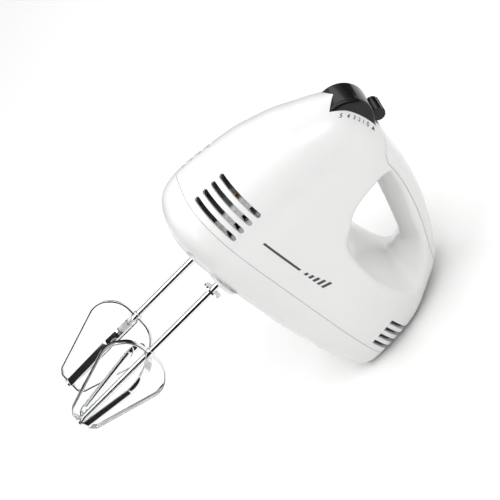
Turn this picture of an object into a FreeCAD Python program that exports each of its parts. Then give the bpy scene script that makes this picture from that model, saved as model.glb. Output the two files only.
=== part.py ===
import FreeCAD, Part
import math
import os

from FreeCAD import Rotation, Vector

# Hand mixer, standing on its heel with the nose up and the beaters level.
# Frame, in millimetres: +Z runs from the heel to the nose, +X is up when the mixer is in use, and
# -Y is the mixer's left side. The origin is the centre of the flat heel face.
# Heights (h) are measured from the seam between the two housing halves, along +X.

SEAM_X = -22.0            # x of the seam plane between upper and lower housing
WALL = 2.4                # wall of the moulded housing
SEAM_GAP = 0.3            # gap drawn where two mouldings meet
OPENING_ROUND = 4.0       # rounding where the finger opening meets the outer skin
FLOOR_ROUND = 3.0         # rounding round the flat underside
STEP_ROUND = 1.5          # rounding across the step that rests on a bowl

WIDEST_Z = 114.0          # station where every housing outline is widest
AXIS_H = 16.0             # height of the motor shaft
BEATER_Z = 121.0          # station of both beater axes
BEATER_Y = 20.6           # half the distance between the beater axes

LEVER_H = 99.3            # pivot of the speed lever
LEVER_Z = 130.4
LEVER_RADIUS = 16.5
LEVER_HALF = 12.0         # half the lever's width
KNOB_ANGLE = -40.0        # where the knob stands when off, from straight up towards the heel
KNOB_REACH = 19.2         # pivot to knob centre

SPINDLE_RADIUS = 5.5
SHAFT_RADIUS = 2.4        # beater shaft, 4.8 mm
SOCKET_RADIUS = 2.45
WHEEL_TEETH = 34
WHEEL_TIP = 16.9          # the teeth stop just short of the worm thread
WORM_TIP = 3.55
WORM_LEAD = 2 * math.pi   # two starts of module 1

CAGE_TOP = -92.5          # height of the beater hub
CAGE_BOTTOM = -157.0
BAND_WIDTH = 5.0
BAND_THICK = 1.2

FRONT_SLOTS = (6.5, 13.2, 20.0, 26.8)
REAR_SLOTS = (5.3, 10.8, 16.3, 21.8)
BRACKET_POSTS = ((36.0, 101.0), (33.0, 143.0))
HOUSING_SCREWS = ((30.0, 42.0), (24.0, 152.0))

# Housing outlines: height, rear z, front z, half width, roundness of the nose and of the heel.
# A roundness of 2 is an ellipse and larger is boxier.
OUTLINES = (
    (-26.0, 40.0, 153.5, 24.0, 2.3, 3.0),
    (-24.5, 29.0, 164.0, 29.5, 2.4, 4.0),
    (-21.0, 11.5, 170.5, 34.5, 2.5, 4.7),
    (-14.0, 0.5, 175.6, 40.0, 2.8, 5.0),
    (0.0, -1.2, 176.8, 44.2, 2.9, 4.9),
    (12.0, -1.0, 176.0, 44.4, 2.9, 4.7),
    (30.0, -0.4, 174.2, 43.2, 2.7, 4.2),
    (50.0, 5.5, 171.2, 40.5, 2.5, 3.2),
    (60.0, 8.8, 168.5, 38.4, 2.35, 2.6),
    (70.0, 15.5, 165.2, 35.8, 2.3, 2.15),
    (80.0, 29.5, 160.2, 33.0, 2.2, 1.9),
    (90.0, 47.5, 155.0, 29.5, 2.15, 1.7),
    (98.0, 67.0, 150.2, 26.0, 2.1, 1.7),
    (103.0, 84.0, 147.0, 21.8, 2.0, 1.8),
    (105.5, 96.5, 145.8, 18.0, 1.95, 1.9),
    (107.6, 106.0, 143.0, 14.2, 2.0, 2.0),
    (109.3, 113.5, 138.0, 9.5, 2.0, 2.0),
)

# Finger opening: height and z of each point on the centre plane, then how far the point has moved
# 20 mm out to the side, where the opening flares into the outer skin.
OPENING = (
    (46.0, 38.0, -2.4, -4.0),
    (44.0, 60.0, -2.4, 0.0),
    (45.5, 80.0, -0.5, 2.5),
    (55.0, 90.5, 0.0, 1.2),
    (68.0, 94.5, 0.0, 2.0),
    (78.5, 92.0, 10.0, 2.0),
    (80.0, 84.0, 12.5, 0.5),
    (74.0, 67.0, 14.5, 1.0),
    (66.0, 48.0, 12.5, 2.0),
    (60.0, 37.0, 12.0, 0.0),
    (52.5, 33.5, 1.5, -6.5),
)
OPENING_STATIONS = (0.0, 6.0, 12.0, 18.0, 24.0, 31.0, 40.0, 52.0)

# Seam of the handle cover, height and z, from the heel end to the bend behind the lever.
COVER_SEAM = ((59.5, 2.0), (66.9, 20.8), (80.6, 46.3), (91.8, 74.0), (97.3, 98.5))


def at(h, y, z):
    return Vector(h + SEAM_X, y, z)


def block(h0, h1, y0, y1, z0, z1):
    return Part.makeBox(h1 - h0, y1 - y0, z1 - z0, at(h0, y0, z0))


def rod_x(radius, h0, h1, y, z):
    return Part.makeCylinder(radius, h1 - h0, at(h0, y, z), Vector(1, 0, 0))


def rod_y(radius, y0, y1, h, z):
    return Part.makeCylinder(radius, y1 - y0, at(h, y0, z), Vector(0, 1, 0))


def rod_z(radius, z0, z1, h, y):
    return Part.makeCylinder(radius, z1 - z0, at(h, y, z0), Vector(0, 0, 1))


def tube_x(outer, inner, h0, h1, y, z):
    return rod_x(outer, h0, h1, y, z).cut(rod_x(inner, h0 - 1, h1 + 1, y, z))


def tube_z(outer, inner, z0, z1, h, y):
    return rod_z(outer, z0, z1, h, y).cut(rod_z(inner, z0 - 1, z1 + 1, h, y))


def joined(shapes):
    """One solid made of several."""
    first, rest = shapes[0], shapes[1:]
    return first.multiFuse(rest).removeSplitter() if rest else first


def group(shapes):
    """Separate solids that share a node."""
    return Part.makeCompound(shapes)


def both_sides(shape):
    """A shape and its mirror image across the centre plane."""
    return [shape, shape.mirror(Vector(0, 0, 0), Vector(0, 1, 0))]


def closed_curve(points):
    """A smooth loop through the points, with the same knots whatever the points are."""
    curve = Part.BSplineCurve()
    count = len(points)
    curve.interpolate(Points=points, PeriodicFlag=True,
                      Parameters=[i / count for i in range(count + 1)])
    return Part.Wire(curve.toShape())


def prism(outline, y0, y1):
    """A solid between two y stations from an outline of (height, z) corners."""
    corners = [at(h, y0, z) for h, z in outline]
    face = Part.Face(Part.makePolygon(corners + corners[:1]))
    return face.extrude(Vector(0, y1 - y0, 0))


# ---------------------------------------------------------------- housing surfaces

def outline_wire(row, inset=(0, 0, 0)):
    """Closed outline at one height: half a superellipse for the nose and one for the heel."""
    h, rear, front, half, nose, heel = row
    rear, front, half = rear + inset[0], front - inset[1], half - inset[2]
    widest = min(max(WIDEST_Z, rear + 10), front - 10)
    steps = 9
    side = []
    for i in range(2 * steps + 1):
        turn = math.pi / 2 * i / steps
        if i <= steps:
            z = widest + (front - widest) * math.cos(turn) ** (2 / nose)
            y = half * math.sin(turn) ** (2 / nose)
        else:
            back = turn - math.pi / 2
            z = widest - (widest - rear) * math.sin(back) ** (2 / heel)
            y = half * max(math.cos(back), 0) ** (2 / heel)
        side.append((y, z))
    loop = side + [(-y, z) for y, z in side[-2:0:-1]]
    return closed_curve([at(h, y, z) for y, z in loop])


def rounded(shape, radius, chosen):
    """Fillet the edges for which chosen(bounding box) is true."""
    edges = [edge for edge in shape.Edges if chosen(edge.BoundBox)]
    return shape.makeFillet(radius, edges)


def outer_body(opening):
    """Outside of the housing as one solid, with the finger opening cut and its edges rounded."""
    body = Part.makeLoft([outline_wire(row) for row in OUTLINES], True, False)
    body = body.cut(block(-40, 130, -60, 60, -20, 0))
    body = body.cut(bowl_rest(0)).cut(opening)
    body = rounded(body, OPENING_ROUND, lambda box: box.XLength > 50 and box.ZLength > 60)
    body = rounded(body, FLOOR_ROUND, lambda box: box.XLength < 0.1 and box.ZLength > 100)
    return rounded(body, STEP_ROUND, lambda box: box.ZLength < 0.1 and box.XMax < SEAM_X - 10)


def bowl_rest(lift):
    """The step under the heel that sits on the rim of a bowl."""
    return prism(((-14.8 + lift, -5), (-14.8 + lift, 23 + lift), (-17.5 + lift, 27.5 + lift),
                  (-40, 37 + lift), (-40, -5)), -60, 60)


def wall_run(values, index):
    """Horizontal run of the wall where the skin leans over."""
    lo = OUTLINES[max(index - 1, 0)]
    hi = OUTLINES[min(index + 1, len(OUTLINES) - 1)]
    slope = (hi[values] - lo[values]) / (hi[0] - lo[0])
    return WALL * math.sqrt(1 + slope * slope)


def cavity():
    """Space inside the skin, before the finger opening takes its share."""
    wires = []
    for index in range(2, len(OUTLINES) - 2):
        row = OUTLINES[index]
        inset = [wall_run(column, index) for column in (1, 2, 3)]
        if index == 2:
            floor = (-26.0 + WALL,) + row[1:]
            wires.append(outline_wire(floor, [5.5 * WALL, 4.5 * WALL, 3.2 * WALL]))
        wires.append(outline_wire(row, inset))
    space = Part.makeLoft(wires, True, False)
    space = space.cut(block(-40, 130, -60, 60, -20, WALL))
    return space.cut(bowl_rest(WALL))


def flare(y):
    """How far the finger opening has flared at y, as a share of its flare at 20 mm."""
    s = (y / 20.0) ** 2
    return 1.25 * s / (1 + 0.25 * s)


def opening_wire(y, grow):
    share = flare(y)
    loop = [(h + dh * share, z + dz * share) for h, z, dh, dz in OPENING]
    points = []
    for i, (h, z) in enumerate(loop):
        ahead, behind = loop[(i + 1) % len(loop)], loop[i - 1]
        along_h, along_z = ahead[0] - behind[0], ahead[1] - behind[1]
        length = math.hypot(along_h, along_z)
        points.append(at(h - grow * along_z / length, y, z + grow * along_h / length))
    return closed_curve(points)


def finger_opening(grow=0.0):
    stations = [-y for y in OPENING_STATIONS[:0:-1]] + list(OPENING_STATIONS)
    return Part.makeLoft([opening_wire(y, grow) for y in stations], True, False)


def cover_region(gap):
    """Everything above the seam of the handle cover."""
    seam = Part.BSplineCurve()
    seam.interpolate([at(h + gap, -60, z) for h, z in COVER_SEAM])
    h_end, z_end = COVER_SEAM[-1]
    corners = [at(h_end + gap, -60, z_end), at(h_end + 3 + gap, -60, z_end + 5 - gap),
               at(h_end + 14, -60, z_end + 11 - gap), at(135, -60, z_end + 11 - gap),
               at(135, -60, -20), at(COVER_SEAM[0][0] + gap, -60, -20),
               at(COVER_SEAM[0][0] + gap, -60, COVER_SEAM[0][1])]
    edges = [seam.toShape()]
    edges += [Part.makeLine(a, b) for a, b in zip(corners, corners[1:])]
    return Part.Face(Part.Wire(edges)).extrude(Vector(0, 120, 0))


# ---------------------------------------------------------------- housing details

def front_slots():
    """Slots that wrap the front corner on both sides, one above another."""
    start, end = Vector(0, -42.5, 152.0), Vector(0, -16.0, 175.5)
    run = end - start
    cutters = []
    for h in FRONT_SLOTS:
        bar = Part.makeBox(3.5, 16, run.Length - 3.5, Vector(-1.75, -8, 0))
        ends = [Part.makeCylinder(1.75, 16, Vector(0, -8, z), Vector(0, 1, 0))
                for z in (0, run.Length - 3.5)]
        bar = bar.fuse(ends[0]).fuse(ends[1])
        bar.Placement.Rotation = Rotation(Vector(0, 0, 1), run)
        bar.Placement.Base = at(h, start.y, start.z)
        cutters += both_sides(bar)
    return cutters


def rear_slots():
    """Shorter slots through the corners beside the heel."""
    cutters = []
    for h in REAR_SLOTS:
        bar = Part.makeBox(2.8, 18, 24, Vector(-1.4, -9, 0))
        bar.Placement.Rotation = Rotation(Vector(0, 0, 1), Vector(0, -0.62, 1))
        bar.Placement.Base = at(h, -33.0, -2.0)
        cutters += both_sides(bar)
    return cutters


def screw_boss(y, z, h0, h1, reach):
    """A round boss with a rib that ties it to the side wall."""
    side = 1 if y > 0 else -1
    rib = block(h0, h1, min(y, side * reach), max(y, side * reach), z - 1, z + 1)
    return rod_x(4.0, h0, h1, y, z).fuse(rib)


def upper_housing(shell, inside):
    """Upper moulding: nose, finger opening and the lower half of the grip."""
    body = shell.cut(block(-60, SEAM_GAP / 2, -70, 70, -30, 200))
    body = body.cut(cover_region(0))
    extras = []
    for y, z in HOUSING_SCREWS:
        extras += both_sides(screw_boss(y, z, SEAM_GAP, 28, 44).common(inside))
    extras += both_sides(rod_y(4.5, LEVER_HALF + 0.6, 30, LEVER_H, LEVER_Z).common(inside))
    body = body.multiFuse(extras)
    cutters = front_slots() + rear_slots()
    cutters.append(rod_y(LEVER_RADIUS + 0.3, -LEVER_HALF - 0.3, LEVER_HALF + 0.3, LEVER_H, LEVER_Z))
    for angle in (-45, -50):
        cutters.append(rod_y(5.0, -8.0, 8.0, *on_lever(KNOB_REACH, angle)))
    cutters += both_sides(rod_y(2.0, 0, 18, LEVER_H, LEVER_Z))
    for y, z in HOUSING_SCREWS:
        cutters += both_sides(rod_x(1.5, -1, 16, y, z))
    cutters.append(rod_y(5.0, 30, 50, 28, 32))
    return body.cut(cutters)


def lower_housing(outer, shell):
    """Lower moulding: base pan with the beater bosses, screw posts and the bowl rest."""
    body = shell.cut(block(-SEAM_GAP / 2, 140, -70, 70, -30, 200))
    extras = []
    for y, z in BRACKET_POSTS:
        extras += both_sides(rod_x(3.6, -26, 23.9, y, z))
    for y, z in HOUSING_SCREWS:
        extras += both_sides(rod_x(5.0, -26, -SEAM_GAP, y, z))
    for z in (53.0, 74.0):
        extras.append(block(-24.5, -5.1, -20, 20, z, z + 3))
    extras += both_sides(rod_x(3.6, -24.5, -5.1, 24.0, 65.0))
    extras = [extra.common(outer) for extra in extras]
    for y in (-BEATER_Y, BEATER_Y):
        pad = Part.makeCone(11.0, 12.5, 2.5, at(-27.3, y, BEATER_Z), Vector(1, 0, 0))
        extras += [pad, rod_x(9.5, -25, -17, y, BEATER_Z)]
    body = body.multiFuse(extras)
    cutters = []
    for y in (-BEATER_Y, BEATER_Y):
        cutters.append(rod_x(6.5, -30, -10, y, BEATER_Z))
    for y, z in BRACKET_POSTS:
        cutters += both_sides(rod_x(1.5, 10, 30, y, z))
    for y, z in HOUSING_SCREWS:
        cutters += both_sides(rod_x(1.7, -30, 5, y, z))
        cutters += both_sides(rod_x(3.4, -30, -17, y, z))
    cutters += both_sides(rod_x(1.5, -18, 0, 24.0, 65.0))
    return body.cut(cutters)


def handle_cover(shell, inside):
    """Top of the grip, with two tongues that clip inside the lower half of the grip."""
    body = shell.common(cover_region(0.25))
    tongues = [block(68, 92, -5, 5, 57.0, 58.8), block(84, 104, -5, 5, 85.0, 86.8)]
    return joined([body] + [tongue.common(inside) for tongue in tongues])


# ---------------------------------------------------------------- fasteners

def screw(h_head, length, y, z, up=True, shank=1.45):
    """Pan-head screw along X; the head is at h_head and the shank points up or down."""
    way = 1 if up else -1
    head = Part.makeCylinder(2.9, 2.0, at(h_head, y, z), Vector(-way, 0, 0))
    body = Part.makeCylinder(shank, length, at(h_head, y, z), Vector(way, 0, 0))
    slot = Part.makeBox(1.2, 6.4, 0.8)
    slot.translate(at(h_head - way * 2.0 - 0.6, y - 3.2, z - 0.4))
    return head.fuse(body).cut(slot)


def housing_screws():
    screws = []
    for y, z in HOUSING_SCREWS:
        screws += both_sides(screw(-17, 30, y, z))
    return group(screws)


def bracket_screws():
    screws = []
    for y, z in BRACKET_POSTS:
        screws += both_sides(screw(27.2, 14, y, z, up=False))
    return group(screws)


def stator_screws():
    return group(both_sides(screw(31.0, 46, 24.0, 65.0, up=False)))


# ---------------------------------------------------------------- gear train

def gear_bracket():
    """Cast frame over the worm wheels, with a leg at each end of the worm."""
    plate = block(24, 27, -34, 34, 96, 147)
    ears = []
    for y, z in BRACKET_POSTS:
        ears += both_sides(rod_x(4.2, 24, 27, y, z))
    legs = [block(4, 24.5, -9, 9, 97, 100), block(4, 24.5, -9, 9, 139, 145)]
    bosses = both_sides(rod_x(9, 22, 33, BEATER_Y, BEATER_Z))
    frame = plate.multiFuse(ears + legs + bosses)
    cutters = both_sides(rod_x(7.0, 20, 35, BEATER_Y, BEATER_Z))
    cutters += [rod_z(3.2, 95, 102, AXIS_H, 0), rod_z(4.5, 138, 150, AXIS_H, 0)]
    cutters.append(block(20, 30, -3.4, 3.4, 118, 124))
    for y, z in BRACKET_POSTS:
        cutters += both_sides(rod_x(1.6, 20, 30, y, z))
    return frame.cut(cutters)


def upper_spindle_bushes():
    return group(both_sides(tube_x(7.0, SPINDLE_RADIUS + 0.04, 22, 33, BEATER_Y, BEATER_Z)))


def lower_spindle_bushes():
    return group(both_sides(tube_x(6.5, SPINDLE_RADIUS + 0.04, -26.5, -17, BEATER_Y, BEATER_Z)))


def spindle(y):
    """Tube that carries a worm wheel and grips the top of a beater."""
    tube = rod_x(SPINDLE_RADIUS, -26, 36, y, BEATER_Z)
    flange = rod_x(8.0, 8.2, 10.0, y, BEATER_Z)
    return tube.fuse(flange).cut(rod_x(SOCKET_RADIUS, -30, 40, y, BEATER_Z))


def worm_wheel(y):
    """Wheel with straight-sided teeth, pressed on its spindle."""
    root = WHEEL_TIP - 1.5
    corners = []
    for tooth in range(WHEEL_TEETH):
        middle = 2 * math.pi * (tooth + 0.5) / WHEEL_TEETH
        for radius, turn in ((root, -0.068), (WHEEL_TIP, -0.032), (WHEEL_TIP, 0.032), (root, 0.068)):
            angle = middle + turn
            corners.append(at(12, y + radius * math.sin(angle), BEATER_Z + radius * math.cos(angle)))
    face = Part.Face(Part.makePolygon(corners + corners[:1]))
    wheel = face.extrude(Vector(8, 0, 0))
    dish = tube_x(13.5, 8.5, 18, 21, y, BEATER_Z)
    hub = rod_x(8.0, 10.0, 21.5, y, BEATER_Z)
    return wheel.cut(dish).fuse(hub).cut(rod_x(SPINDLE_RADIUS, 5, 25, y, BEATER_Z))


def worm():
    """Two-start worm sleeve on the front of the motor shaft."""
    core = rod_z(2.6, 109, 133, AXIS_H, 0)
    solids = [core]
    for start in (0, 1):
        helix = Part.makeHelix(WORM_LEAD, 20, 2.6)
        profile = Part.makePolygon([Vector(2.3, 0, -0.85), Vector(WORM_TIP, 0, -0.35),
                                    Vector(WORM_TIP, 0, 0.35), Vector(2.3, 0, 0.85),
                                    Vector(2.3, 0, -0.85)])
        thread = Part.Wire(helix).makePipeShell([profile], True, True)
        thread.rotate(Vector(0, 0, 0), Vector(0, 0, 1), 180 * start)
        thread.translate(at(AXIS_H, 0, 111))
        solids.append(thread)
    body = joined(solids)
    return body.cut(rod_z(2.0, 100, 140, AXIS_H, 0))


# ---------------------------------------------------------------- motor

def motor_shaft():
    thin = rod_z(2.0, 108.5, 146, AXIS_H, 0)
    thick = rod_z(2.5, 13, 108.5, AXIS_H, 0)
    return thin.fuse(thick)


def armature_core():
    """Laminated drum with eleven winding slots."""
    drum = tube_z(12.5, 2.5, 50, 80, AXIS_H, 0)
    slots = []
    for i in range(11):
        slot = Part.makeBox(2.6, 5.0, 32, Vector(7.6, -2.5, 49))
        mouth = Part.makeBox(4.0, 1.6, 32, Vector(10.0, -0.8, 49))
        pocket = slot.fuse(mouth)
        pocket.rotate(Vector(0, 0, 0), Vector(0, 0, 1), 360 * i / 11)
        pocket.translate(at(AXIS_H, 0, 0))
        slots.append(pocket)
    return drum.cut(slots)


def armature_coils():
    """End windings in front of and behind the drum, and a bundle in each slot."""
    ends = [tube_z(11.0, 3.2, 46.4, 50, AXIS_H, 0), tube_z(11.0, 3.2, 80, 84, AXIS_H, 0)]
    bundles = []
    for i in range(11):
        bundle = Part.makeBox(2.2, 4.4, 30.4, Vector(7.8, -2.2, 49.8))
        bundle.rotate(Vector(0, 0, 0), Vector(0, 0, 1), 360 * i / 11)
        bundle.translate(at(AXIS_H, 0, 0))
        bundles.append(bundle)
    return joined(ends + bundles)


def commutator():
    """Copper ring with narrow cuts between its eleven bars."""
    ring = tube_z(8.0, 2.5, 36, 46, AXIS_H, 0)
    cuts = []
    for i in range(11):
        cut = Part.makeBox(2.0, 0.5, 12, Vector(7.0, -0.25, 35))
        cut.rotate(Vector(0, 0, 0), Vector(0, 0, 1), 360 * (i + 0.5) / 11)
        cut.translate(at(AXIS_H, 0, 0))
        cuts.append(cut)
    return ring.cut(cuts)


def cooling_fan():
    """Hub, back plate and nine straight blades."""
    pieces = [rod_z(5.5, 25, 34, AXIS_H, 0), rod_z(18.5, 25, 26.4, AXIS_H, 0)]
    for i in range(9):
        blade = Part.makeBox(14.2, 1.4, 6.6, Vector(4.3, -0.7, 26.2))
        blade.rotate(Vector(0, 0, 0), Vector(0, 0, 1), 360 * i / 9)
        blade.translate(at(AXIS_H, 0, 0))
        pieces.append(blade)
    return joined(pieces).cut(rod_z(2.5, 20, 40, AXIS_H, 0))


def stator_core():
    """Laminated field frame with two poles around the armature."""
    frame = block(-5, 36, -27.5, 27.5, 50, 80)
    window = block(-1, 32.5, -22, 22, 49, 81)
    poles = []
    for way in (1, -1):
        pole = block(*sorted((AXIS_H + way * 10, AXIS_H + way * 20)), -8, 8, 50, 80)
        shoe = rod_z(16.0, 50, 80, AXIS_H, 0).common(
            block(*sorted((AXIS_H + way * 5, AXIS_H + way * 17)), -17, 17, 50, 80))
        poles += [pole, shoe]
    core = frame.cut(window).multiFuse(poles)
    cutters = [rod_z(13.1, 49, 81, AXIS_H, 0)]
    cutters += both_sides(rod_x(1.6, -10, 40, 24.0, 65.0))
    cutters += both_sides(rod_x(3.2, 31, 40, 24.0, 65.0))
    return core.cut(cutters).removeSplitter()


def field_coils():
    """One flat winding around the neck of each pole."""
    coils = []
    for way in (1, -1):
        middle = AXIS_H + way * 14.4
        coil = block(middle - 1.6, middle + 1.6, -15.5, 15.5, 45.0, 85.0)
        neck = block(middle - 3, middle + 3, -8.2, 8.2, 49.8, 80.2)
        coils.append(coil.cut(neck).cut(rod_z(16.2, 40, 90, AXIS_H, 0).common(
            block(-60, 60, -8.2, 8.2, 40, 90).fuse(block(-60, 60, -16, 16, 49.8, 80.2)))))
    return group(coils)


def front_bearing():
    return tube_z(4.5, 2.03, 139, 145, AXIS_H, 0)


def rear_bearing():
    return tube_z(5.0, 2.53, 16.5, 22.5, AXIS_H, 0)


def rear_motor_bracket():
    """Upright plate on the floor of the housing that carries the rear bearing."""
    plate = block(-12.3, 26, -13, 13, 18, 21)
    foot = block(-12.3, -10, -13, 13, 14, 24)
    boss = rod_z(7.5, 16.5, 22.5, AXIS_H, 0)
    return plate.multiFuse([foot, boss]).cut(rod_z(5.0, 10, 30, AXIS_H, 0))


def brush_holders():
    holder = block(AXIS_H - 4, AXIS_H + 4, 9.0, 24.0, 37, 45)
    channel = block(AXIS_H - 2.6, AXIS_H + 2.6, 8.0, 22.5, 38.4, 43.6)
    return group(both_sides(holder.cut(channel)))


def carbon_brushes():
    brush = block(AXIS_H - 2.5, AXIS_H + 2.5, 7.0, 14.5, 38.5, 43.5)
    return group(both_sides(brush.cut(rod_z(8.05, 30, 50, AXIS_H, 0))))


def brush_springs():
    """Short coils, drawn as a stack of rings, between each brush and its cap."""
    spring = joined([rod_y(0.9, 14.5, 22.5, AXIS_H, 41)]
                    + [rod_y(2.0, 14.5 + 2 * i, 15.3 + 2 * i, AXIS_H, 41) for i in range(4)])
    return group(both_sides(spring))


# ---------------------------------------------------------------- controls

def on_lever(radius, degrees):
    """Height and z of a point on the lever, by radius and angle forward from straight up."""
    turn = math.radians(degrees)
    return LEVER_H + radius * math.cos(turn), LEVER_Z + radius * math.sin(turn)


def lever_wedge(radius, first, last):
    """Wedge about the lever pivot from one angle to another."""
    steps = 14
    rim = [on_lever(radius, first + (last - first) * i / steps) for i in range(steps + 1)]
    return prism([(LEVER_H, LEVER_Z)] + rim, -20, 20)


def speed_lever():
    """Hollow drum segment with a thumb knob, a hub and a peg that presses the ejector."""
    drum = rod_y(LEVER_RADIUS, -LEVER_HALF, LEVER_HALF, LEVER_H, LEVER_Z)
    drum = drum.makeFillet(2.6, [e for e in drum.Edges if e.BoundBox.YLength < 0.01])
    hollow = rod_y(LEVER_RADIUS - 2, 1.5, LEVER_HALF - 2, LEVER_H, LEVER_Z)
    drum = drum.cut(both_sides(hollow)).common(lever_wedge(60, -122, 76))
    hub = rod_y(4.5, -LEVER_HALF, LEVER_HALF, LEVER_H, LEVER_Z)
    knob_h, knob_z = on_lever(KNOB_REACH, KNOB_ANGLE)
    knob = rod_y(4.6, -7.5, 7.5, knob_h, knob_z)
    knob = knob.makeFillet(1.8, [e for e in knob.Edges if e.BoundBox.YLength < 0.01])
    peg_h, peg_z = on_lever(12.4, -131)
    peg = rod_y(1.5, -4, 4, peg_h, peg_z)
    arm = prism([on_lever(3, -60), on_lever(12.4, -119), on_lever(12.4, -131), on_lever(3, 160)],
                -1.5, 1.5)
    body = joined([drum, hub, knob, peg, arm])
    return body.cut(rod_y(2.05, -20, 20, LEVER_H, LEVER_Z))


def lever_pin():
    return rod_y(2.0, -17.5, 17.5, LEVER_H, LEVER_Z)


def ejector():
    """Fork above the spindles, with a pin into each socket and a stem up to the lever peg."""
    bar = block(40, 42.5, -BEATER_Y - 4, BEATER_Y + 4, BEATER_Z - 4, BEATER_Z + 4)
    pins = both_sides(rod_x(2.2, 32, 41, BEATER_Y, BEATER_Z))
    stem = block(42, 87.8, -3, 3, BEATER_Z - 1, BEATER_Z + 1)
    guide = rod_x(2.0, 28, 41, 0, BEATER_Z)
    return joined([bar, stem, guide] + pins)


def ejector_spring():
    """Return spring around the guide pin, drawn as a stack of rings on a thin sleeve."""
    rings = [tube_x(3.3, 2.3, 27.2 + 2.6 * i, 28.2 + 2.6 * i, 0, BEATER_Z) for i in range(5)]
    return joined([tube_x(2.7, 2.3, 27.2, 36.5, 0, BEATER_Z)] + rings)


def speed_switch():
    """Switch block under the lever, on two posts of the gear bracket."""
    body = block(64, 78, -9, 9, 125, 148)
    posts = both_sides(rod_x(2.0, 27, 64.5, 7.5, 136.5))
    return joined([body] + posts)


def switch_contacts():
    """Spring leaves that ride on the lever drum."""
    leaves = []
    for y in (-5.0, 0.0, 5.0):
        leaves.append(block(78, 85.4, y - 1.2, y + 1.2, 140, 140.5))
    return group(leaves)


def cord_gland():
    """Bush for the supply cord, through the right-hand wall near the heel."""
    barrel = rod_y(5.0, 35.0, 44.0, 28, 32)
    flange = rod_y(7.0, 43.6, 46.0, 28, 32)
    inner = rod_y(6.2, 34.0, 36.2, 28, 32)
    return joined([barrel, flange, inner]).cut(rod_y(3.2, 30, 50, 28, 32))


def lead_wires():
    """Two insulated leads from the gland to the switch, straight runs joined by arcs."""
    wires = []
    for shift in (0.0, 3.0):
        route = [at(27, 29.5, 31 + shift), at(30.6 + shift, 30, 37 + shift),
                 at(30.6 + shift, 30.5, 96), at(36 + shift, 30, 124),
                 at(50, 12 + shift, 141), at(62.5, 3 + shift, 143)]
        wires.append(lead(route, 1.1))
    return group(wires)


def lead(route, radius):
    """Round wire along a route, with an arc at every turn."""
    edges = []
    last = route[0]
    for a, b, c in zip(route, route[1:], route[2:]):
        back, on = (a - b).normalize(), (c - b).normalize()
        half_turn = (math.pi - back.getAngle(on)) / 2
        reach = 0.42 * min((a - b).Length, (c - b).Length)
        bend = reach / math.tan(half_turn)
        middle = (back + on).normalize()
        centre = b + middle * (bend / math.cos(half_turn))
        first, second = b + back * reach, b + on * reach
        edges.append(Part.LineSegment(last, first).toShape())
        edges.append(Part.Arc(first, centre - middle * bend, second).toShape())
        last = second
    edges.append(Part.LineSegment(last, route[-1]).toShape())
    path = Part.Wire(edges)
    ring = Part.Wire(Part.makeCircle(radius, route[0], route[1] - route[0]))
    return path.makePipeShell([ring], True, False)


# ---------------------------------------------------------------- beaters

def cage_outline(inset, drop):
    """Half of a beater band in its own plane, as (distance from axis, height) corners."""
    top, bottom = CAGE_TOP - inset - drop, CAGE_BOTTOM + inset + drop
    return [(0, top), (13.5, top), (25.5 - inset, top - 13 + inset), (11.0 - inset, bottom + 3),
            (7.5, bottom), (0, bottom)]


def band_wire(inset, drop):
    """Closed loop of lines and round corners in the plane of one band."""
    right = cage_outline(inset, drop)
    loop = right[1:-1] + [(-r, h) for r, h in right[-2:0:-1]]
    radii = [9.0 - inset, 8.0 - inset, 3.5 - inset / 2, 2.5 - inset / 2]
    radii = radii + radii[::-1]
    return rounded_loop(loop, radii)


def rounded_loop(loop, radii):
    edges = []
    spans = []
    count = len(loop)
    for i in range(count):
        a, b, c = (Vector(*loop[(i + k) % count], 0) for k in (-1, 0, 1))
        back, on = (a - b).normalize(), (c - b).normalize()
        half_turn = (math.pi - back.getAngle(on)) / 2
        reach = min(radii[i] * math.tan(half_turn), 0.48 * (a - b).Length, 0.48 * (c - b).Length)
        bend = reach / math.tan(half_turn)
        middle = (back + on).normalize()
        centre = b + middle * (bend / math.cos(half_turn))
        spans.append((b + back * reach, centre - middle * bend, b + on * reach))
    for i, (first, mid, last) in enumerate(spans):
        edges.append(Part.Arc(first, mid, last).toShape())
        edges.append(Part.LineSegment(last, spans[(i + 1) % count][0]).toShape())
    return Part.Wire(edges)


def beater_band(y, turn, drop):
    """Flat strip bent into a loop, drilled where the shaft passes through."""
    outer = Part.Face(band_wire(0, drop))
    inner = Part.Face(band_wire(BAND_THICK, drop))
    strip = outer.cut(inner).extrude(Vector(0, 0, BAND_WIDTH))
    strip.translate(Vector(0, 0, -BAND_WIDTH / 2))
    # The outline lies in (r, h): turn h onto X and r onto Y, then turn about the beater axis.
    strip.rotate(Vector(0, 0, 0), Vector(0, 0, 1), -90)
    strip.rotate(Vector(0, 0, 0), Vector(1, 0, 0), turn)
    strip.translate(at(0, y, BEATER_Z))
    return strip.cut(rod_x(SHAFT_RADIUS, -170, 40, y, BEATER_Z))


def beater_shaft(y):
    """Straight shaft with a pointed tip below and a notched drive end in the spindle."""
    shaft = rod_x(SHAFT_RADIUS, CAGE_BOTTOM - 1.0, 28.8, y, BEATER_Z)
    groove = tube_x(4, 1.9, 22, 24, y, BEATER_Z)
    return shaft.cut(groove)


def beater_collar(y):
    """Thin notched disc that tells the left beater from the right one."""
    disc = tube_x(6.25, SHAFT_RADIUS, -35.8, -34.4, y, BEATER_Z)
    notches = []
    for i in range(4):
        notch = Part.makeBox(4, 1.6, 2.4, Vector(-2, -0.8, 4.9))
        notch.rotate(Vector(0, 0, 0), Vector(1, 0, 0), 90 * i + 20)
        notch.translate(at(-35.1, y, BEATER_Z))
        notches.append(notch)
    return disc.cut(notches)


# ---------------------------------------------------------------- build

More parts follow.
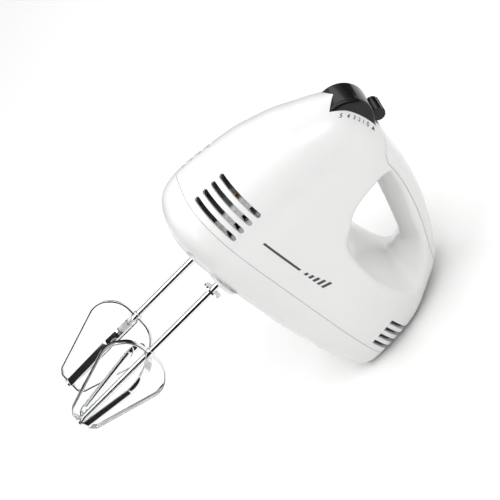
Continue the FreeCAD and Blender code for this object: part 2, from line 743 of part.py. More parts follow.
def build():
    outer = outer_body(finger_opening())
    inside = cavity().cut(finger_opening(1.3 * WALL))
    shell = outer.cut(inside)
    nodes = {
        "upper_housing": upper_housing(shell, inside),
        "lower_housing": lower_housing(outer, shell),
        "handle_cover": handle_cover(shell, inside),
        "housing_screws": housing_screws(),
        "bracket_screws": bracket_screws(),
        "stator_screws": stator_screws(),
        "gear_bracket": gear_bracket(),
        "upper_spindle_bushes": upper_spindle_bushes(),
        "lower_spindle_bushes": lower_spindle_bushes(),
        "motor_shaft": motor_shaft(),
        "worm": worm(),
        "armature_core": armature_core(),
        "armature_coils": armature_coils(),
        "commutator": commutator(),
        "cooling_fan": cooling_fan(),
        "stator_core": stator_core(),
        "field_coils": field_coils(),
        "front_bearing": front_bearing(),
        "rear_bearing": rear_bearing(),
        "rear_motor_bracket": rear_motor_bracket(),
        "brush_holders": brush_holders(),
        "carbon_brushes": carbon_brushes(),
        "brush_springs": brush_springs(),
        "speed_lever": speed_lever(),
        "lever_pin": lever_pin(),
        "ejector": ejector(),
        "ejector_spring": ejector_spring(),
        "speed_switch": speed_switch(),
        "switch_contacts": switch_contacts(),
        "cord_gland": cord_gland(),
        "lead_wires": lead_wires(),
        "left_beater_collar": beater_collar(-BEATER_Y),
    }
    for side, y, turn in (("left", -BEATER_Y, 79.5), ("right", BEATER_Y, 55.5)):
        nodes[side + "_spindle"] = spindle(y)
        nodes[side + "_worm_wheel"] = worm_wheel(y)
        nodes[side + "_beater_shaft"] = beater_shaft(y)
        nodes[side + "_beater_outer_band"] = beater_band(y, turn, 0)
        nodes[side + "_beater_inner_band"] = beater_band(y, turn + 90, BAND_THICK)
    return nodes


os.makedirs("parts", exist_ok=True)
for name, shape in build().items():
    shape.exportStep("parts/" + name + ".step")
    print(name, len(shape.Solids), "solids", round(shape.Volume / 1000, 2), "cm3",
          "valid" if shape.isValid() else "NOT VALID")
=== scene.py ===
import math
import bpy
import bmesh
from mathutils import Matrix, Vector


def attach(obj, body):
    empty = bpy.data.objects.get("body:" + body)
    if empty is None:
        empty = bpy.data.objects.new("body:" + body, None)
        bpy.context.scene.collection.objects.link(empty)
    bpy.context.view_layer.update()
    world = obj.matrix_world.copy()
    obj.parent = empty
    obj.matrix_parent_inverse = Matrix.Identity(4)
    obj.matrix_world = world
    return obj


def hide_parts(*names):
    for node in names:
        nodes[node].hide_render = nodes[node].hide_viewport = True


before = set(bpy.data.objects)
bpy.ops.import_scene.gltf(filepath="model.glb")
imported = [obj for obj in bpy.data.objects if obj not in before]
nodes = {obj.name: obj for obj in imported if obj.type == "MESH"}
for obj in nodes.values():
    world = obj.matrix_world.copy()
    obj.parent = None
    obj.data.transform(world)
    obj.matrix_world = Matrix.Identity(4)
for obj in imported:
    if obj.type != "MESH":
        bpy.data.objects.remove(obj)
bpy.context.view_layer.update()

seamX = -0.022  # in m, the seam between the two housing mouldings, where heights start
signOf = {"left": -1, "right": 1}  # the mixer's left side is towards -Y
print("frame ready")


# A point from millimetres: height above the seam, to the side, forward from the heel.
def place(height, side, forward):
    return Vector((seamX + height / 1000, side / 1000, forward / 1000))


def clearSelection():
    if bpy.context.object and bpy.context.object.mode != "OBJECT":
        bpy.ops.object.mode_set(mode="OBJECT")
    bpy.ops.object.select_all(action="DESELECT")


def pick(thing):
    clearSelection()
    thing.select_set(True)
    bpy.context.view_layer.objects.active = thing


def freeze(thing):  # object back to the origin, with its place in its mesh
    pick(thing)
    bpy.ops.object.transform_apply(location=True, rotation=True, scale=True)


def applyAll(thing):
    pick(thing)
    for modifier in list(thing.modifiers):
        bpy.ops.object.modifier_apply(modifier=modifier.name)


def tidyMesh(thing, angle):
    pick(thing)
    bpy.ops.object.mode_set(mode="EDIT")
    bpy.ops.mesh.select_all(action="SELECT")
    bpy.ops.mesh.remove_doubles(threshold=2e-6)
    bpy.ops.mesh.normals_make_consistent(inside=False)
    bpy.ops.object.mode_set(mode="OBJECT")
    bpy.ops.object.shade_smooth_by_angle(angle=math.radians(angle))


def bevelEdges(thing, width, segments, angle):  # width in mm
    bevel = thing.modifiers.new("edges", "BEVEL")
    bevel.width = width / 1000
    bevel.segments = segments
    bevel.limit_method = "ANGLE"
    bevel.angle_limit = math.radians(angle)
    applyAll(thing)


# In edit mode, selects only the vertices, edges or faces for which test is true.
def selectWhere(thing, test, kind="VERT"):
    bpy.context.tool_settings.mesh_select_mode = (kind == "VERT", kind == "EDGE", kind == "FACE")
    mesh = bmesh.from_edit_mesh(thing.data)
    for parts in (mesh.faces, mesh.edges, mesh.verts):
        for part in parts:
            part.select = False
    chosen = [part for part in {"VERT": mesh.verts, "EDGE": mesh.edges, "FACE": mesh.faces}[kind]
              if test(part)]
    for part in chosen:
        part.select = True
    mesh.select_flush_mode()
    bmesh.update_edit_mesh(thing.data)
    return len(chosen)


def copyOf(pattern):
    twin = pattern.copy()
    twin.data = pattern.data.copy()
    bpy.context.scene.collection.objects.link(twin)
    return twin


def joinAll(things):
    clearSelection()
    for thing in things:
        thing.select_set(True)
    bpy.context.view_layer.objects.active = things[0]
    bpy.ops.object.join()
    return bpy.context.object


def finishPiece(thing, name, body, slot, material, *stands):
    thing.name = name
    thing.data.name = name
    thing.data.materials.clear()
    thing.data.materials.append(material)
    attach(thing, body)
    if stands:
        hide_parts(*stands)


# the camera stands off the left side and above, and its roll is measured from +X upright
cameraSettings = {
    "azimuth": 12.5,
    "elevation": 34.0,
    "roll": 45.371,
    "aim": (0.028, 0.0, 0.0825),
    "distance": 1.4,
    "lens": 161.06,
    "sensor": 36.0,
    "aimOffset": (0.040715, 0.018011),  # how far the aim point lies right of and above the middle
}


def makeCamera(s):
    azimuth, elevation, roll = (math.radians(s[k]) for k in ("azimuth", "elevation", "roll"))
    towards = Vector((math.sin(azimuth), -math.cos(elevation) * math.cos(azimuth),
                      math.sin(elevation) * math.cos(azimuth)))
    up = (Vector((1, 0, 0)) - towards * towards.x).normalized()
    right = up.cross(towards)
    imageRight = math.cos(roll) * right + math.sin(roll) * up
    imageUp = math.cos(roll) * up - math.sin(roll) * right
    offRight, offUp = s["aimOffset"]
    back = (towards + offRight * imageRight + offUp * imageUp).normalized()
    imageRight = (imageRight - back * imageRight.dot(back)).normalized()
    imageUp = back.cross(imageRight)
    camera = bpy.data.objects.new("camera", bpy.data.cameras.new("camera"))
    bpy.context.scene.collection.objects.link(camera)
    turn = Matrix((imageRight, imageUp, back)).transposed().to_4x4()
    camera.matrix_world = Matrix.Translation(Vector(s["aim"]) + towards * s["distance"]) @ turn
    camera.data.sensor_width = s["sensor"]
    camera.data.lens = s["lens"]
    bpy.context.scene.camera = camera


makeCamera(cameraSettings)
print("camera ready")

lightTarget = (0.0, 0.0, 0.08)
lightSettings = {
    "key": {"at": (0.55, -0.75, 1.25), "size": (1.1, 0.9), "power": 11.0},
    "top": {"at": (-0.25, 0.15, 1.45), "size": (1.6, 1.3), "power": 13.0},
    "strip": {"at": (-0.85, -0.55, 0.55), "size": (0.25, 1.1), "power": 1.6},
    "rear": {"at": (0.5, 0.9, 0.9), "size": (0.8, 0.6), "power": 1.6},
}
worldSettings = {
    "horizon": (0.08, 0.08, 0.09),
    "zenith": (1.0, 1.0, 1.0),
    "fade": (0.12, 0.55),  # where the horizon's tone ends and the zenith's begins
    "strength": 0.5,
}
cardSettings = {  # black cards that only the shiny parts see
    "left": {"at": (-0.42, -0.12, 0.16), "size": (0.55, 0.32), "faces": (1, 0.1, -0.05)},
    "front": {"at": (0.02, -0.62, 0.10), "size": (0.9, 0.19), "faces": (0, 1, 0)},
    "high": {"at": (-0.12, -0.86, 0.66), "size": (1.8, 1.15), "faces": (0.1, 0.83, -0.5)},
    "back": {"at": (0.0, 0.5, 0.14), "size": (0.9, 0.26), "faces": (0, -1, 0)},
    "over": {"at": (-0.18, 0.16, 0.6), "size": (0.5, 0.14), "faces": (0.1, -0.2, -1)},
}
cardFinish = {"colour": (0.004, 0.004, 0.004), "rough": 0.9}


def makeLights(lights, target):
    for name, s in lights.items():
        data = bpy.data.lights.new(name, "AREA")
        data.shape = "RECTANGLE"
        data.size, data.size_y = s["size"]
        data.energy = s["power"]
        light = bpy.data.objects.new(name, data)
        bpy.context.scene.collection.objects.link(light)
        light.location = s["at"]
        light.rotation_euler = (target - Vector(s["at"])).to_track_quat("-Z", "Y").to_euler()


def makeWorld(s):
    world = bpy.data.worlds.new("studio")
    bpy.context.scene.world = world
    world.use_nodes = True
    tree = world.node_tree
    tree.nodes.clear()
    where = tree.nodes.new("ShaderNodeTexCoord")
    split = tree.nodes.new("ShaderNodeSeparateXYZ")
    ramp = tree.nodes.new("ShaderNodeValToRGB")
    background = tree.nodes.new("ShaderNodeBackground")
    output = tree.nodes.new("ShaderNodeOutputWorld")
    low, high = ramp.color_ramp.elements
    low.position, high.position = s["fade"]
    low.color, high.color = (*s["horizon"], 1), (*s["zenith"], 1)
    background.inputs["Strength"].default_value = s["strength"]
    tree.links.new(where.outputs["Generated"], split.inputs[0])
    tree.links.new(split.outputs["Z"], ramp.inputs["Fac"])
    tree.links.new(ramp.outputs["Color"], background.inputs["Color"])
    tree.links.new(background.outputs[0], output.inputs["Surface"])


def makeCards(cards, dull):
    black = bpy.data.materials.new("blackCard")
    black.use_nodes = True
    shader = black.node_tree.nodes["Principled BSDF"]
    shader.inputs["Base Color"].default_value = (*dull["colour"], 1)
    shader.inputs["Roughness"].default_value = dull["rough"]
    for name, s in cards.items():
        clearSelection()
        bpy.ops.mesh.primitive_plane_add(size=1, location=s["at"])
        card = bpy.context.object
        card.name = name + "Card"
        card.scale = (*s["size"], 1)
        card.rotation_euler = Vector(s["faces"]).to_track_quat("Z", "Y").to_euler()
        card.visible_camera = card.visible_diffuse = card.visible_shadow = False
        card.data.materials.append(black)


makeCards(cardSettings, cardFinish)
makeLights(lightSettings, Vector(lightTarget))
makeWorld(worldSettings)
bpy.context.scene.view_settings.view_transform = "Standard"
print("lights ready")


def addSocket(group, name, way, kind="NodeSocketFloat"):
    group.interface.new_socket(name=name, in_out=way, socket_type=kind)


grainSettings = {"broadDetail": 2.0, "fineDetail": 4.0, "span": (0.3, 0.7), "depth": 0.0002}
layerSettings = {"distortion": 0.6, "detailScale": 3.0,
                 "turns": {"Y": (0, 0, math.pi / 2), "Z": (0, math.pi / 2, 0)}}


# Broad tone and fine grain, which every finish is built on.
def grainGroup(s):
    group = bpy.data.node_groups.new("grain", "ShaderNodeTree")
    addSocket(group, "Vector", "INPUT", "NodeSocketVector")
    addSocket(group, "Scale", "INPUT")
    addSocket(group, "Spread", "INPUT")
    addSocket(group, "Broad", "OUTPUT")
    addSocket(group, "Fine", "OUTPUT")
    start = group.nodes.new("NodeGroupInput")
    end = group.nodes.new("NodeGroupOutput")
    broad = group.nodes.new("ShaderNodeTexNoise")
    fine = group.nodes.new("ShaderNodeTexNoise")
    share = group.nodes.new("ShaderNodeMath")
    share.operation = "MULTIPLY"
    broad.inputs["Detail"].default_value = s["broadDetail"]
    fine.inputs["Detail"].default_value = s["fineDetail"]
    link = group.links.new
    link(start.outputs["Vector"], broad.inputs["Vector"])
    link(start.outputs["Vector"], fine.inputs["Vector"])
    link(start.outputs["Scale"], fine.inputs["Scale"])
    link(start.outputs["Scale"], share.inputs[0])
    link(start.outputs["Spread"], share.inputs[1])
    link(share.outputs[0], broad.inputs["Scale"])
    link(broad.outputs["Fac"], end.inputs["Broad"])
    link(fine.outputs["Fac"], end.inputs["Fine"])
    return group


# Thin parallel layers, for stacked sheets and wound wire.
def layerGroup(s):
    group = bpy.data.node_groups.new("layers", "ShaderNodeTree")
    addSocket(group, "Vector", "INPUT", "NodeSocketVector")
    addSocket(group, "Scale", "INPUT")
    addSocket(group, "Lines", "OUTPUT")
    start = group.nodes.new("NodeGroupInput")
    end = group.nodes.new("NodeGroupOutput")
    wave = group.nodes.new("ShaderNodeTexWave")
    wave.wave_type = "BANDS"
    wave.inputs["Distortion"].default_value = s["distortion"]
    wave.inputs["Detail Scale"].default_value = s["detailScale"]
    group.links.new(start.outputs["Vector"], wave.inputs["Vector"])
    group.links.new(start.outputs["Scale"], wave.inputs["Scale"])
    group.links.new(wave.outputs["Fac"], end.inputs["Lines"])
    return group


grain = grainGroup(grainSettings)
layers = layerGroup(layerSettings)

# colour and accent are mixed, rough runs from the glossiest to the dullest spot,
# and layers gives the count and the way of the lines
finishes = {
    "glossWhite": {
        "colour": (0.80, 0.80, 0.795), "accent": (0.76, 0.76, 0.755), "rough": (0.17, 0.24),
        "scale": 900, "spread": 0.02, "bump": 0.02},
    "glossBlack": {
        "colour": (0.006, 0.006, 0.0065), "accent": (0.010, 0.010, 0.011), "rough": (0.12, 0.2),
        "scale": 1200, "spread": 0.03, "bump": 0.02, "shine": 0.3},
    "chrome": {
        "colour": (0.86, 0.865, 0.87), "accent": (0.74, 0.745, 0.75), "rough": (0.035, 0.09),
        "scale": 1500, "spread": 0.05, "bump": 0.008, "metal": 1},
    "steel": {
        "colour": (0.55, 0.56, 0.57), "accent": (0.40, 0.40, 0.41), "rough": (0.22, 0.38),
        "scale": 1400, "spread": 0.08, "bump": 0.05, "metal": 1},
    "lamination": {
        "colour": (0.27, 0.27, 0.28), "accent": (0.17, 0.16, 0.16), "rough": (0.4, 0.6),
        "scale": 1100, "spread": 0.1, "bump": 0.5, "metal": 1, "layers": (620, "Z")},
    "zinc": {
        "colour": (0.46, 0.47, 0.48), "accent": (0.36, 0.365, 0.37), "rough": (0.38, 0.55),
        "scale": 900, "spread": 0.1, "bump": 0.12, "metal": 1},
    "copper": {
        "colour": (0.62, 0.27, 0.12), "accent": (0.42, 0.15, 0.06), "rough": (0.22, 0.4),
        "scale": 1300, "spread": 0.08, "bump": 0.5, "metal": 1, "layers": (480, "Y")},
    "bronze": {
        "colour": (0.48, 0.33, 0.16), "accent": (0.36, 0.24, 0.11), "rough": (0.35, 0.5),
        "scale": 1600, "spread": 0.1, "bump": 0.1, "metal": 1},
    "brass": {
        "colour": (0.68, 0.5, 0.22), "accent": (0.52, 0.37, 0.15), "rough": (0.22, 0.4),
        "scale": 1300, "spread": 0.08, "bump": 0.05, "metal": 1},
    "nylon": {
        "colour": (0.72, 0.70, 0.64), "accent": (0.66, 0.64, 0.57), "rough": (0.35, 0.5),
        "scale": 1200, "spread": 0.06, "bump": 0.05},
    "darkPlastic": {
        "colour": (0.03, 0.03, 0.032), "accent": (0.05, 0.05, 0.05), "rough": (0.35, 0.5),
        "scale": 1500, "spread": 0.06, "bump": 0.08},
    "carbon": {
        "colour": (0.035, 0.034, 0.034), "accent": (0.015, 0.015, 0.015), "rough": (0.55, 0.75),
        "scale": 2200, "spread": 0.1, "bump": 0.15},
    "rubber": {
        "colour": (0.025, 0.025, 0.025), "accent": (0.04, 0.04, 0.04), "rough": (0.55, 0.7),
        "scale": 1800, "spread": 0.08, "bump": 0.12},
    "leadInsulation": {
        "colour": (0.05, 0.05, 0.055), "accent": (0.03, 0.03, 0.03), "rough": (0.4, 0.55),
        "scale": 1500, "spread": 0.08, "bump": 0.05},
    "printedInk": {
        "colour": (0.03, 0.03, 0.032), "accent": (0.06, 0.06, 0.06), "rough": (0.35, 0.5),
        "scale": 2500, "spread": 0.1, "bump": 0.03},
    "studioFloor": {
        "colour": (0.93, 0.93, 0.925), "accent": (0.91, 0.91, 0.905), "rough": (0.7, 0.85),
        "scale": 60, "spread": 0.05, "bump": 0.0},
}
slotFinish = {
    "housing_plastic": "glossWhite", "black_plastic": "glossBlack", "chrome": "chrome",
    "steel": "steel", "lamination": "lamination", "zinc": "zinc", "copper": "copper",
    "bronze": "bronze", "brass": "brass", "nylon": "nylon", "dark_plastic": "darkPlastic",
    "carbon": "carbon", "rubber": "rubber", "wire": "leadInsulation",
}
plainShine = 0.5  # for a finish that names none


def makeFinish(name, s):
    material = bpy.data.materials.new(name)
    material.use_nodes = True
    tree = material.node_tree
    shader = tree.nodes["Principled BSDF"]
    link = tree.links.new
    where = tree.nodes.new("ShaderNodeTexCoord")
    texture = tree.nodes.new("ShaderNodeGroup")
    texture.node_tree = grain
    texture.inputs["Scale"].default_value = s["scale"]
    texture.inputs["Spread"].default_value = s["spread"]
    link(where.outputs["Object"], texture.inputs["Vector"])
    tone = tree.nodes.new("ShaderNodeMix")
    tone.data_type = "RGBA"
    tone.inputs[6].default_value = (*s["colour"], 1)  # sockets 6 and 7 are the two colours
    tone.inputs[7].default_value = (*s["accent"], 1)
    gloss = tree.nodes.new("ShaderNodeMapRange")
    low, high = grainSettings["span"]  # the noise seldom leaves this range
    gloss.inputs["From Min"].default_value, gloss.inputs["From Max"].default_value = low, high
    gloss.inputs["To Min"].default_value, gloss.inputs["To Max"].default_value = s["rough"]
    bump = tree.nodes.new("ShaderNodeBump")
    bump.inputs["Strength"].default_value = s["bump"]
    bump.inputs["Distance"].default_value = grainSettings["depth"]
    height, toneFrom = texture.outputs["Fine"], texture.outputs["Broad"]
    if "layers" in s:
        count, way = s["layers"]
        lines = tree.nodes.new("ShaderNodeGroup")
        lines.node_tree = layers
        lines.inputs["Scale"].default_value = count
        turn = tree.nodes.new("ShaderNodeMapping")
        turn.inputs["Rotation"].default_value = layerSettings["turns"][way]
        both = tree.nodes.new("ShaderNodeMath")
        link(where.outputs["Object"], turn.inputs["Vector"])
        link(turn.outputs[0], lines.inputs["Vector"])
        link(lines.outputs["Lines"], both.inputs[0])
        link(height, both.inputs[1])
        height, toneFrom = both.outputs[0], lines.outputs["Lines"]
    link(toneFrom, tone.inputs["Factor"])
    link(tone.outputs[2], shader.inputs["Base Color"])
    link(texture.outputs["Broad"], gloss.inputs["Value"])
    link(gloss.outputs[0], shader.inputs["Roughness"])
    link(height, bump.inputs["Height"])
    link(bump.outputs[0], shader.inputs["Normal"])
    shader.inputs["Metallic"].default_value = s.get("metal", 0)
    shader.inputs["Specular IOR Level"].default_value = s.get("shine", plainShine)
    return material


finish = {name: makeFinish(name, s) for name, s in finishes.items()}
for node in nodes.values():  # every part that is carried over takes the finish of its slot
    slotName = node.material_slots[0].material.name.split(".")[0]
    node.material_slots[0].material = finish[slotFinish[slotName]]
print("finishes ready")

# two crossed loops of flat strip, a hub above them and a rivet below, in mm
beaterSettings = {
    "top": -92.5,  # height of the hub
    "bottom": -157.0,
    "corners": ((13.5, 0.0), (25.5, -13.0),  # out from the axis, and height from the hub
                (11.0, -61.5), (7.5, -64.5)),
    "rounding": (15.0, 13.5, 3.5, 2.5),
    "roundSteps": 10,
    "roundLimit": 0.47,  # the share of a side that one rounding may take
    "startRadius": 20.0,
    "insideShift": 8.0,  # from mid height to a point that sees every corner in turn
    "stripWidth": 5.0,
    "stripThick": 1.2,
    "stripEdge": 0.28,
    "innerDrop": 1.35,  # the inner loop passes under the outer one
    "sideways": 20.6,
    "forward": 121.0,
    "turn": {"left": 79.5, "right": 55.5},  # degrees, for the hubs and rivets
    "collars": {
        "Hub": {"radius": 3.1, "length": 3.6, "height": -93.1},
        "Rivet": {"radius": 3.3, "length": 1.6, "height": -157.5},
    },
    "collarSides": 48,
    "bossInset": 0.22,  # share of the collar's radius
    "bossDraw": 1.35,  # share of the collar's length
    "collarEdge": 0.1,  # share of the collar's radius
}
touching = 1e-5  # in m; two places nearer than this are one


def angleRound(point, middle):
    return math.atan2(point[1] - middle[1], point[0] - middle[0])


# A strip bent to a cage loop, lying flat round the beater axis.
def bentStrip(s, drop):
    clearSelection()
    bpy.ops.mesh.primitive_cylinder_add(vertices=2 * len(s["corners"]), end_fill_type="NOTHING",
                                        radius=s["startRadius"] / 1000,
                                        depth=s["stripWidth"] / 1000)
    band = bpy.context.object
    corners = []
    for step, (out, up) in enumerate(s["corners"]):
        height = s["top"] + up + (-drop if step < 2 else drop)
        for side in (1, -1):
            spot = place(height, side * out, 0)
            corners.append((spot.x, spot.y, s["rounding"][step] / 1000))
    inside = (place((s["top"] + s["bottom"]) / 2 + s["insideShift"], 0, 0).x, 0.0)
    corners.sort(key=lambda c: angleRound(c, inside))
    columns = sorted({(round(v.co.x, 6), round(v.co.y, 6)) for v in band.data.vertices},
                     key=lambda c: angleRound(c, (0.0, 0.0)))
    bpy.ops.object.mode_set(mode="EDIT")

    def stands(vert, spot):
        return abs(vert.co.x - spot[0]) < touching and abs(vert.co.y - spot[1]) < touching

    for column, corner in zip(columns, corners):  # each upright edge goes to its corner
        selectWhere(band, lambda v: stands(v, column))
        bpy.ops.transform.translate(value=(corner[0] - column[0], corner[1] - column[1], 0))
    for k, corner in enumerate(corners):
        before, after = corners[k - 1], corners[(k + 1) % len(corners)]
        one = Vector((corner[0] - before[0], corner[1] - before[1]))
        two = Vector((after[0] - corner[0], after[1] - corner[1]))
        reach = corner[2] * math.tan(one.angle(two) / 2)
        reach = min(reach, s["roundLimit"] * one.length, s["roundLimit"] * two.length)
        selectWhere(band, lambda e: all(stands(v, corner) for v in e.verts), "EDGE")
        bpy.ops.mesh.bevel(offset=reach, segments=s["roundSteps"], affect="EDGES",
                           offset_type="OFFSET")
    bpy.ops.object.mode_set(mode="OBJECT")
    wall = band.modifiers.new("wall", "SOLIDIFY")
    wall.thickness = s["stripThick"] / 1000
    wall.offset = -1
    applyAll(band)
    bevelEdges(band, s["stripEdge"], segments=3, angle=60)
    tidyMesh(band, angle=40)
    return band


# A short turned collar round the shaft, each end drawn out to a narrower boss.
def turnedCollar(s, radius, length, height):
    centre = place(height, 0, 0)
    clearSelection()
    bpy.ops.mesh.primitive_cylinder_add(vertices=s["collarSides"], radius=radius / 1000,
                                        depth=length / 1000, rotation=(0, math.pi / 2, 0),
                                        location=centre)
    collar = bpy.context.object
    freeze(collar)
    bpy.ops.object.mode_set(mode="EDIT")
    selectWhere(collar, lambda f: abs(f.normal.x) > 0.9, "FACE")  # the two ends
    bpy.ops.mesh.inset(thickness=s["bossInset"] * radius / 1000, use_individual=True)
    selectWhere(collar, lambda f: abs(f.normal.x) > 0.9 and len(f.verts) > 8, "FACE")
    bpy.ops.transform.resize(value=(s["bossDraw"], 1, 1), center_override=(centre.x, 0, 0))
    bpy.ops.object.mode_set(mode="OBJECT")
    bevelEdges(collar, s["collarEdge"] * radius, segments=3, angle=25)
    tidyMesh(collar, angle=35)
    return collar


def standBeater(thing, s, side, turn):
    thing.rotation_euler = (turn, 0, 0)
    thing.location = (0, signOf[side] * s["sideways"] / 1000, s["forward"] / 1000)
    freeze(thing)


# The angle at which a loop stands is read from the frame's own band: its farthest corner
# gives two candidates, and the one about which the band is even is taken.
def bandTurn(s, side, kind):
    node = nodes[f"{side}_beater_{kind}_band"]
    axisY, axisZ = signOf[side] * s["sideways"] / 1000, s["forward"] / 1000
    across = [(v.co.y - axisY, v.co.z - axisZ) for v in node.data.vertices]
    farY, farZ = max(across, key=lambda p: p[0] ** 2 + p[1] ** 2)
    turn = math.atan2(farZ, farY)
    corner = math.atan2(s["stripWidth"] / 2, s["corners"][1][0] - s["stripThick"])

    def lopsided(angle):
        offsets = [z * math.cos(angle) - y * math.sin(angle) for y, z in across]
        return abs(max(offsets) + min(offsets)) + max(offsets)

    return min((turn + corner, turn - corner), key=lopsided)


def makeBeaters(s):
    for kind, drop in (("outer", 0.0), ("inner", s["innerDrop"])):
        pattern = bentStrip(s, drop)
        for side in ("left", "right"):
            band = copyOf(pattern)
            standBeater(band, s, side, bandTurn(s, side, kind))
            finishPiece(band, f"{side}Cage{kind.capitalize()}", f"{side}_beater", "chrome",
                        finish["chrome"], f"{side}_beater_{kind}_band")
        bpy.data.objects.remove(pattern)
    for kind, size in s["collars"].items():
        pattern = turnedCollar(s, size["radius"], size["length"], size["height"])
        for side in ("left", "right"):
            part = copyOf(pattern)
            standBeater(part, s, side, math.radians(s["turn"][side]))
            finishPiece(part, side + kind, f"{side}_beater", "chrome", finish["chrome"])
        bpy.data.objects.remove(pattern)


makeBeaters(beaterSettings)
print("beaters ready")

# a drum cut flat below, with a ribbed thumb knob, and an arm and peg inside, in mm
leverSettings = {
    "pivot": (99.3, 130.4),
    "radius": 16.5,
    "halfWidth": 12.0,
    "drumSides": 144,
    "shoulder": 2.8,
    "shoulderSteps": 9,
    "ends": (-122.0, 104.0),  # degrees round the pivot where the drum is cut off
    "knobRadius": 4.35,
    "knobHalf": 7.4,
    "knobReach": 19.2,
    "knobAngle": -40.0,
    "ribs": 14,
    "ribHeight": 0.3,
    "ribEdge": 0.14,
    "armReach": 12.4,
    "armAngle": -125.0,
    "armShift": 1.0,
    "armSize": (13.0, 3.0, 4.5),
    "armEdge": 0.4,
    "pegAngle": -131.0,
    "pegRadius": 1.5,
    "pegHalf": 4.0,
    "pegSides": 32,
}


def onLever(s, reach, degrees):
    height, forward = s["pivot"]
    turn = math.radians(degrees)
    return height + reach * math.cos(turn), forward + reach * math.sin(turn)


def rodAcross(height, forward, radius, half, vertices):
    clearSelection()
    bpy.ops.mesh.primitive_cylinder_add(vertices=vertices, radius=radius / 1000,
                                        depth=2 * half / 1000, rotation=(math.pi / 2, 0, 0),
                                        location=place(height, 0, forward))
    rod = bpy.context.object
    freeze(rod)
    return rod


def unite(base, other):
    union = base.modifiers.new("union", "BOOLEAN")
    union.operation = "UNION"
    union.solver = "EXACT"
    union.object = other
    applyAll(base)
    bpy.data.objects.remove(other)


def leverDrum(s):
    drum = rodAcross(*s["pivot"], s["radius"], s["halfWidth"], s["drumSides"])
    bevelEdges(drum, s["shoulder"], segments=s["shoulderSteps"], angle=60)
    first, last = (place(h, 0, z) for h, z in (onLever(s, s["radius"], a) for a in s["ends"]))
    along = (last - first).normalized()
    down = Vector((-along.z, 0, along.x))
    if down.x > 0:
        down = -down
    pick(drum)
    bpy.ops.object.mode_set(mode="EDIT")
    bpy.ops.mesh.select_all(action="SELECT")
    bpy.ops.mesh.bisect(plane_co=first, plane_no=down, use_fill=True, clear_outer=True)
    bpy.ops.object.mode_set(mode="OBJECT")
    return drum


def leverKnob(s):
    height, forward = onLever(s, s["knobReach"], s["knobAngle"])
    sides = 3 * s["ribs"]  # every third side of the knob is raised
    knob = rodAcross(height, forward, s["knobRadius"], s["knobHalf"], sides)
    centre = place(height, 0, forward)

    def isRib(face):
        at = face.calc_center_median() - centre
        share = (math.atan2(at.z, at.x) + math.pi) / (2 * math.pi)
        return abs(face.normal.y) < 0.5 and round(share * sides) % 3 == 0

    bpy.ops.object.mode_set(mode="EDIT")
    selectWhere(knob, isRib, "FACE")
    bpy.ops.mesh.extrude_region_shrink_fatten(
        TRANSFORM_OT_shrink_fatten={"value": s["ribHeight"] / 1000})
    bpy.ops.object.mode_set(mode="OBJECT")
    bevelEdges(knob, s["ribEdge"], segments=2, angle=50)
    return knob


def leverArm(s):
    height, forward = onLever(s, s["armReach"] / 2 + s["armShift"], s["armAngle"])
    clearSelection()
    bpy.ops.mesh.primitive_cube_add(size=1, location=place(height, 0, forward),
                                    scale=[edge / 1000 for edge in s["armSize"]],
                                    rotation=(0, -math.radians(s["armAngle"]), 0))
    arm = bpy.context.object
    freeze(arm)
    bevelEdges(arm, s["armEdge"], segments=2, angle=60)
    return arm


def makeLever(s):
    lever = leverDrum(s)
    unite(lever, leverKnob(s))
    unite(lever, leverArm(s))
    unite(lever, rodAcross(*onLever(s, s["armReach"], s["pegAngle"]), s["pegRadius"],
                           s["pegHalf"], s["pegSides"]))
    tidyMesh(lever, angle=32)
    finishPiece(lever, "speedLever", "lever", "black_plastic", finish["glossBlack"], "speed_lever")


makeLever(leverSettings)
print("lever ready")

# printed marks, in mm: each is made flat, dropped on the housing and given the ink's thickness
inkSettings = {"raise": 0.05, "thick": 0.04, "drop": 16.0}  # drop is the farthest a mark may travel
figureSettings = {
    "figures": (("5", 106.0, 141.2), ("4", 106.6, 137.2), ("3", 107.0, 133.4),
                ("2", 107.2, 129.9), ("1", 107.2, 126.7), ("0", 107.0, 123.2)),
    "side": -15.2,
    "size": 3.3,
    "zeroSize": 4.125,
    "bolder": 0.06,
    "above": 1.5,  # where a figure starts from, before it is dropped
    "arrow": (108.0, -15.5, 118.6),
    "arrowRadius": 1.7,
}
sideMarkSettings = {
    "side": -46.5,
    "stripe": (15.9, 118.0, 32.0, 1.5),  # height, forward, length, thickness
    "stripeLean": 0.5,
    "barTalls": (2.2, 3.0, 3.9, 4.9, 6.0),
    "barFoot": 15.1,
    "barStart": 97.0,
    "barStep": 3.9,
    "barWide": 2.1,
    "barLean": 0.45,
    "rows": 4,
    "cell": 1.5,  # the mark is divided this finely along, to follow the housing's curve
}


def layOn(mark, target, direction):
    wrap = mark.modifiers.new("wrap", "SHRINKWRAP")
    wrap.target = target
    wrap.wrap_method = "PROJECT"
    wrap.use_project_x, wrap.use_project_y = direction == "X", direction == "Y"
    wrap.use_negative_direction = wrap.use_positive_direction = True
    wrap.project_limit = inkSettings["drop"] / 1000
    wrap.offset = inkSettings["raise"] / 1000
    applyAll(mark)
    ink = mark.modifiers.new("ink", "SOLIDIFY")
    ink.thickness = inkSettings["thick"] / 1000
    applyAll(mark)
    tidyMesh(mark, angle=30)


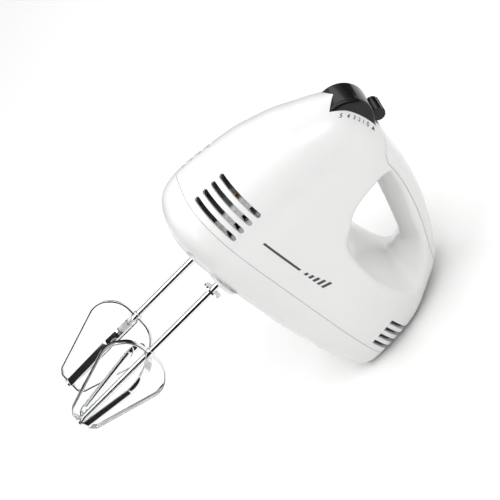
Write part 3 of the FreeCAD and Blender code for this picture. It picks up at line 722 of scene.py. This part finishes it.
def makeFigures(s, housing):
    made = []
    # a figure reads towards the heel, with its top towards the lever
    across = Matrix(((0, 0, 1), (0, 1, 0), (-1, 0, 0))).to_4x4()
    for text, height, forward in s["figures"]:
        clearSelection()
        bpy.ops.object.text_add()
        figure = bpy.context.object
        figure.data.body = text
        figure.data.size = s["zeroSize" if text == "0" else "size"] / 1000
        figure.data.align_x, figure.data.align_y = "CENTER", "CENTER"
        figure.data.offset = s["bolder"] / 1000
        bpy.ops.object.convert(target="MESH")
        figure = bpy.context.object
        spot = place(height + s["above"], s["side"], forward)
        figure.data.transform(Matrix.Translation(spot) @ across)
        made.append(figure)
    clearSelection()
    bpy.ops.mesh.primitive_circle_add(vertices=3, radius=s["arrowRadius"] / 1000, fill_type="NGON",
                                      location=place(*s["arrow"]))
    arrow = bpy.context.object
    arrow.rotation_euler = (0, math.pi / 2, 0)
    freeze(arrow)
    made.append(arrow)
    for mark in made:
        layOn(mark, housing, "X")
    finishPiece(joinAll(made), "speedFigures", "housing", "black_plastic", finish["printedInk"])


def slantedBar(s, height, forward, tall, wide, lean):
    rows, columns = s["rows"], max(2, int(wide / s["cell"]))
    clearSelection()
    bpy.ops.mesh.primitive_grid_add(x_subdivisions=rows, y_subdivisions=columns, size=1,
                                    rotation=(math.pi / 2, 0, 0),
                                    location=place(height, s["side"], forward))
    bar = bpy.context.object
    bar.scale = (tall / 1000, wide / 1000, 1)
    freeze(bar)
    bpy.ops.object.mode_set(mode="EDIT")
    low = place(height - tall / 2, 0, 0).x
    for row in range(1, rows + 1):  # each row of vertices moves a little farther
        rise = low + row * tall / rows / 1000
        if selectWhere(bar, lambda v: abs(v.co.x - rise) < touching):
            bpy.ops.transform.translate(value=(0, 0, -lean * row / rows / 1000))
    bpy.ops.object.mode_set(mode="OBJECT")
    return bar


def makeSideMark(s, housing):
    height, forward, long, thick = s["stripe"]
    bars = [slantedBar(s, height, forward, thick, long, s["stripeLean"])]
    for k, tall in enumerate(s["barTalls"]):
        bars.append(slantedBar(s, s["barFoot"] + tall / 2, s["barStart"] - k * s["barStep"], tall,
                               s["barWide"], tall * s["barLean"]))
    for bar in bars:
        layOn(bar, housing, "Y")
    finishPiece(joinAll(bars), "sideMark", "housing", "black_plastic", finish["printedInk"])


makeFigures(figureSettings, nodes["upper_housing"])
makeSideMark(sideMarkSettings, nodes["upper_housing"])
print("marks ready")

floorSettings = {"size": 9.0}
clearSelection()
bpy.ops.mesh.primitive_plane_add(size=floorSettings["size"])
floor = bpy.context.object
floor.name = "floor"
floor.data.materials.append(finish["studioFloor"])
print("floor ready")
